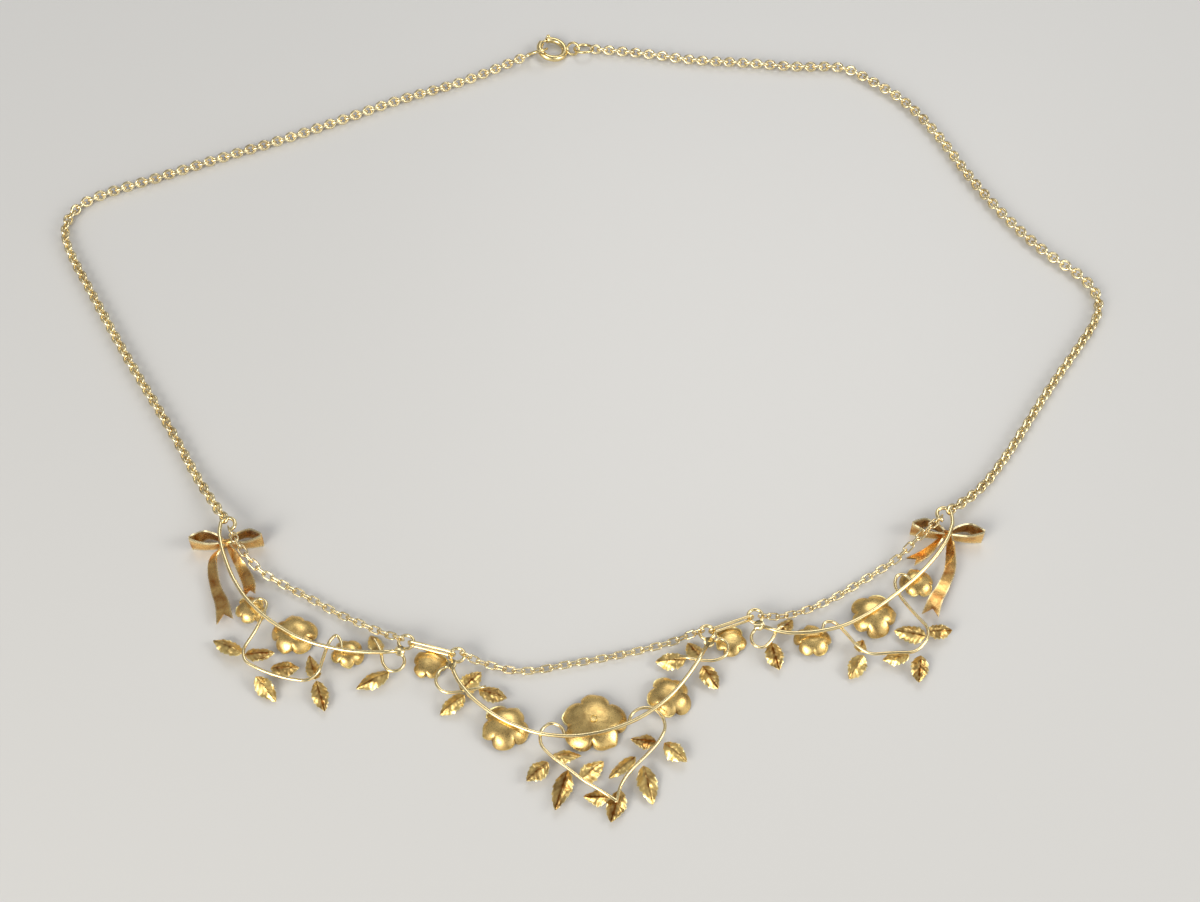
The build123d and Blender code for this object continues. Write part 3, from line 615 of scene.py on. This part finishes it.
def addKnot(shape, bow):
    look = bowLook
    knot, xAxis, yAxis = knotFrame(bow)
    middle = (look["knotLow"] + look["knotHigh"]) / 2
    tall = (look["knotHigh"] - look["knotLow"]) / 2 + look["knotProud"]
    flatter, squarer = look["knotSquare"]
    edges = (0, look["knotColumns"])
    rows = []
    tones = []
    for i in range(look["knotSteps"] + 1):
        angle = 2 * pi * i / look["knotSteps"]
        y = look["knotDepth"] * cos(angle) * (1 + flatter * cos(2 * angle))
        z = tall * sin(angle) * (1 - squarer * cos(2 * angle))
        row = []
        toneRow = []
        for k in range(look["knotColumns"] + 1):
            u = 2 * k / look["knotColumns"] - 1
            pinch = 1 - look["knotPinch"] * (1 - u * u)
            place = knot + xAxis * (look["knotHalf"] * u) + yAxis * (y * pinch)
            row.append(place + up * (middle + z * pinch))
            # painted shade over the knot, and a painted highlight on its edges
            toneRow.append((look["knotShade"], look["knotWear"] if k in edges else 0.0))
        rows.append(row)
        tones.append(toneRow)
    addSheet(shape, rows, look["thickness"] * look["knotWall"], tones)


for nodeName, bow in bowLook["bows"].items():
    bowShape = newShape()
    for hand in (-1, 1):
        addBowLoop(bowShape, bow, hand)
    addKnot(bowShape, bow)
    for tail in bow["tails"]:
        addTail(bowShape, tail)
    ribbon = makePiece(nodeName + "_ribbon", bowShape, golds["rolledRibbonGold"])
    standFor(ribbon, nodeName)
print("bows ready")


# Back chains: oval links that pass through one another, every second one turned a quarter

chainLook = {
    "length": 2.00, "width": 1.64, "wire": 0.42, "pitch": 1.10, "roundSides": 16, "wireSides": 8,
    "turn": 40.0, "sway": 5.0, "seed": 4, "sharpAngle": 70,
    "routes": {  # x, y and height of points; the first and last reach inside the rings that hold them
        "left_back_chain": [
            (-8.0, 63.4, 1.38), (-14.4, 60.0, 0.85), (-20.6, 56.9, 0.85), (-28.8, 53.8, 0.85),
            (-37.0, 49.6, 0.85), (-46.4, 45.1, 0.85), (-56.0, 41.2, 0.85), (-65.0, 37.1, 0.85),
            (-72.5, 34.1, 0.85), (-76.5, 31.4, 0.85), (-77.9, 27.0, 0.85), (-76.2, 22.3, 0.85),
            (-72.2, 15.5, 0.85), (-64.6, 2.4, 0.85), (-56.1, -10.8, 0.85), (-51.1, -19.7, 0.85),
            (-46.85, -25.85, 2.45)],
        "right_back_chain": [
            (2.35, 65.3, 0.85), (10.3, 64.5, 0.85), (18.4, 62.7, 0.85), (27.2, 62.2, 0.85),
            (36.0, 61.1, 0.85), (43.0, 61.5, 0.85), (47.5, 58.0, 0.85), (52.5, 53.6, 0.85),
            (57.1, 46.0, 0.85), (60.9, 37.1, 0.85), (65.6, 28.7, 0.85), (70.6, 22.0, 0.85),
            (75.2, 17.9, 0.85), (77.3, 14.0, 0.85), (76.6, 9.9, 0.85), (73.1, 4.7, 0.85),
            (67.2, -3.5, 0.85), (60.7, -13.7, 0.85), (55.2, -21.0, 0.85), (50.75, -24.4, 2.45)],
    },
}


def linkTree(material):
    look = chainLook
    tree = bpy.data.node_groups.new("linkChain", "GeometryNodeTree")
    tree.interface.new_socket("Geometry", in_out="INPUT", socket_type="NodeSocketGeometry")
    for name, kind in (("Link Length", "Float"), ("Link Width", "Float"), ("Wire", "Float"),
                       ("Count", "Int"), ("Turn", "Float"), ("Sway", "Float"), ("Seed", "Int")):
        tree.interface.new_socket(name, in_out="INPUT", socket_type="NodeSocket" + kind)
    tree.interface.new_socket("Geometry", in_out="OUTPUT", socket_type="NodeSocketGeometry")
    given = addNode(tree, "NodeGroupInput").outputs

    def maths(operation, a, b=0.0):
        return addNode(tree, "ShaderNodeMath", {0: a, 1: b}, operation=operation).outputs[0]

    # one link: an oval of round wire, its length along Z
    oval = addNode(tree, "GeometryNodeCurvePrimitiveCircle", {
        "Resolution": look["roundSides"], "Radius": 0.5})
    spans = addNode(tree, "ShaderNodeCombineXYZ", {
        "X": maths("SUBTRACT", given["Link Width"], given["Wire"]),
        "Y": maths("SUBTRACT", given["Link Length"], given["Wire"]), "Z": 1.0})
    stretched = addNode(tree, "GeometryNodeTransform", {
        "Geometry": oval.outputs["Curve"], "Scale": spans.outputs[0]})
    upright = addNode(tree, "GeometryNodeTransform", {
        "Geometry": stretched.outputs[0], "Rotation": (pi / 2, 0, 0)})
    section = addNode(tree, "GeometryNodeCurvePrimitiveCircle", {
        "Resolution": look["wireSides"], "Radius": maths("MULTIPLY", given["Wire"], 0.5)})
    link = addNode(tree, "GeometryNodeCurveToMesh", {
        "Curve": upright.outputs[0], "Profile Curve": section.outputs["Curve"]})

    # places along the route, half a pitch in from each end
    edge = maths("DIVIDE", 0.5, given["Count"])
    trimmed = addNode(tree, "GeometryNodeTrimCurve", {
        "Curve": given["Geometry"], "Start": edge, "End": maths("SUBTRACT", 1.0, edge)}, mode="FACTOR")
    level = addNode(tree, "GeometryNodeSetCurveNormal", {"Curve": trimmed.outputs[0]}, mode="Z_UP")
    places = addNode(tree, "GeometryNodeCurveToPoints", {
        "Curve": level.outputs[0], "Count": given["Count"]}, mode="COUNT")

    # every second link a quarter round, and each a little off
    index = addNode(tree, "GeometryNodeInputIndex").outputs[0]
    quarter = maths("MULTIPLY", maths("MODULO", index, 2.0), pi / 2)
    swing = addNode(tree, "FunctionNodeRandomValue", {
        "Min": maths("MULTIPLY", given["Sway"], -1.0), "Max": given["Sway"], "ID": index,
        "Seed": given["Seed"]}, data_type="FLOAT")
    total = maths("ADD", maths("ADD", quarter, given["Turn"]), swing.outputs["Value"])
    roll = addNode(tree, "FunctionNodeAxisAngleToRotation", {"Axis": (0, 0, 1), "Angle": total})
    turned = addNode(tree, "FunctionNodeRotateRotation", {
        "Rotation": places.outputs["Rotation"], "Rotate By": roll.outputs[0]}, rotation_space="LOCAL")
    linked = addNode(tree, "GeometryNodeInstanceOnPoints", {
        "Points": places.outputs["Points"], "Instance": link.outputs[0], "Rotation": turned.outputs[0]})
    joined = addNode(tree, "GeometryNodeRealizeInstances", {"Geometry": linked.outputs[0]})
    finished = addNode(tree, "GeometryNodeSetMaterial", {
        "Geometry": joined.outputs[0], "Material": material})
    addNode(tree, "NodeGroupOutput", {"Geometry": finished.outputs[0]})
    return tree


def makeRoute(name, points):
    curve = bpy.data.curves.new(name, "CURVE")
    curve.dimensions = "3D"
    curve.resolution_u = 24
    spline = curve.splines.new("NURBS")
    spline.points.add(len(points) - 1)
    for point, place in zip(spline.points, points):
        point.co = (*(value * mm for value in place), 1.0)
    spline.order_u = 3
    spline.use_endpoint_u = True
    route = bpy.data.objects.new(name, curve)
    bpy.context.scene.collection.objects.link(route)
    return route


def routeLength(route):
    graph = bpy.context.evaluated_depsgraph_get()
    line = bpy.data.meshes.new_from_object(route.evaluated_get(graph))
    corners = [v.co for v in line.vertices]
    bpy.data.meshes.remove(line)
    return sum((b - a).length for a, b in zip(corners, corners[1:]))


def makeBackChain(name, points, tree):
    look = chainLook
    route = makeRoute(name + "_route", points)
    length = routeLength(route)
    count = round(length / (look["pitch"] * mm))
    values = {"Link Length": look["length"] * mm, "Link Width": look["width"] * mm,
              "Wire": look["wire"] * mm, "Count": count, "Turn": radians(look["turn"]),
              "Sway": radians(look["sway"]), "Seed": look["seed"]}
    modifier = route.modifiers.new("links", "NODES")
    modifier.node_group = tree
    for item in tree.interface.items_tree:
        if item.in_out == "INPUT" and item.name in values:
            modifier[item.identifier] = values[item.name]
    graph = bpy.context.evaluated_depsgraph_get()
    graph.update()
    mesh = bpy.data.meshes.new_from_object(route.evaluated_get(graph), depsgraph=graph)
    route.modifiers.remove(modifier)
    bpy.data.objects.remove(route)
    print(f"{name}: {count} links on {length / mm:.1f} mm")
    return finishPiece(name + "_links", mesh, golds["tumbledChainGold"], look["sharpAngle"])


chainTree = linkTree(golds["tumbledChainGold"])
for nodeName, points in chainLook["routes"].items():
    standFor(makeBackChain(nodeName, points, chainTree), nodeName)
print("back chains ready")


# Wires, rings, fine chains and clasp keep the form of their solids, with the facets smoothed

smoothLook = {
    "mergeDistance": 0.0005, "sharpAngle": 35,
    "groups": [  # part of the node's name, new name's ending, metal, slot
        ("garland_wires", "_drawn", "drawnWireGold", "wire_gold"),
        ("oval_link", "_drawn", "drawnWireGold", "wire_gold"),
        ("swag_chain", "_links", "tumbledChainGold", "chain_gold"),
        ("jump_ring", "_turned", "tubeClaspGold", "clasp_gold"),
        ("bolt_ring", "_tube", "tubeClaspGold", "clasp_gold"),
        ("clasp_trigger", "_bolt", "tubeClaspGold", "clasp_gold"),
    ],
}


def smoothedCopy(node, suffix, material):
    mesh = nodes[node].data.copy()
    work = bmesh.new()
    work.from_mesh(mesh)
    bmesh.ops.remove_doubles(work, verts=work.verts, dist=smoothLook["mergeDistance"] * mm)
    work.to_mesh(mesh)
    work.free()
    standFor(finishPiece(node + suffix, mesh, material, smoothLook["sharpAngle"]), node)


for part, suffix, metal, slot in smoothLook["groups"]:
    for nodeName in sorted(name for name in nodes if part in name):
        smoothedCopy(nodeName, suffix, golds[metal])
print("wires, fine chains and clasp ready")


# Floor, light and camera

stageLook = {
    "floor": "CFCFCD", "floorRoughness": 0.32, "floorSize": 3.0,
    "skyColour": "FDFDFF", "skyBase": 0.30,
    "glows": [  # direction, how wide it is as the cosine of its edge, how much it adds
        ((-0.50, -0.75, 0.40), 0.68, 1.20),
        ((0.75, -0.45, 0.40), 0.74, 0.90),
        ((0.10, 0.60, 0.80), 0.78, 0.22),
        ((0.02, -0.56, 0.83), 0.88, -0.24),
    ],
    "lights": [  # name, place and size in metres, watts, colour
        ("frontSoftbox", (-0.30, -0.42, 0.34), 0.28, 2.0, "FFF8EC"),
        ("sideSoftbox", (0.50, -0.12, 0.36), 0.25, 1.2, "FFFBF4"),
        ("backSoftbox", (0.08, 0.42, 0.55), 0.30, 0.6, "FFFFFF"),
    ],
    "cameraAt": (3.6, -152.5, 209.9), "pitch": 33.6, "lens": 54.06, "filmWidth": 36.0, "clipStart": 0.01,
}


def makeFloor():
    half = stageLook["floorSize"] / 2
    corners = [(-half, -half, 0), (half, -half, 0), (half, half, 0), (-half, half, 0)]
    mesh = bpy.data.meshes.new("floor")
    mesh.from_pydata(corners, [], [(0, 1, 2, 3)])
    material = bpy.data.materials.new("paleLaminateFloor")
    material.use_nodes = True
    surface = material.node_tree.nodes["Principled BSDF"]
    surface.inputs["Base Color"].default_value = hexColour(stageLook["floor"])
    surface.inputs["Roughness"].default_value = stageLook["floorRoughness"]
    mesh.materials.append(material)
    floor = bpy.data.objects.new("floor", mesh)
    bpy.context.scene.collection.objects.link(floor)


def makeLight(name, place, size, watts, colour):
    lamp = bpy.data.lights.new(name, "AREA")
    lamp.size = size
    lamp.energy = watts
    lamp.color = hexColour(colour)[:3]
    holder = bpy.data.objects.new(name, lamp)
    holder.location = place
    holder.rotation_euler = (-Vector(place)).to_track_quat("-Z", "Y").to_euler()
    bpy.context.scene.collection.objects.link(holder)


def makeSky():
    world = bpy.data.worlds.new("studio")
    world.use_nodes = True
    bpy.context.scene.world = world
    tree = world.node_tree
    tree.nodes.clear()
    way = addNode(tree, "ShaderNodeTexCoord").outputs["Generated"]
    strength = stageLook["skyBase"]
    for direction, edge, amount in stageLook["glows"]:
        facing = addNode(tree, "ShaderNodeVectorMath", {0: way, 1: Vector(direction).normalized()},
                         operation="DOT_PRODUCT").outputs["Value"]
        glow = addNode(tree, "ShaderNodeMapRange", {
            "Value": facing, "From Min": edge, "From Max": 1.0, "To Max": amount},
            interpolation_type="SMOOTHSTEP").outputs["Result"]
        strength = addNode(tree, "ShaderNodeMath", {0: strength, 1: glow}, operation="ADD").outputs[0]
    sky = addNode(tree, "ShaderNodeBackground", {
        "Color": hexColour(stageLook["skyColour"]), "Strength": strength})
    addNode(tree, "ShaderNodeOutputWorld", {"Surface": sky.outputs[0]})


def makeCamera():
    camera = bpy.data.cameras.new("camera")
    camera.lens = stageLook["lens"]
    camera.sensor_width = stageLook["filmWidth"]
    camera.clip_start = stageLook["clipStart"]
    holder = bpy.data.objects.new("camera", camera)
    holder.location = Vector(stageLook["cameraAt"]) * mm
    holder.rotation_euler = (radians(stageLook["pitch"]), 0, 0)
    bpy.context.scene.collection.objects.link(holder)
    bpy.context.scene.camera = holder


bpy.context.scene.view_settings.view_transform = "Standard"  # keeps the golds yellow
makeFloor()
for settings in stageLook["lights"]:
    makeLight(*settings)
makeSky()
makeCamera()
print("stage ready")
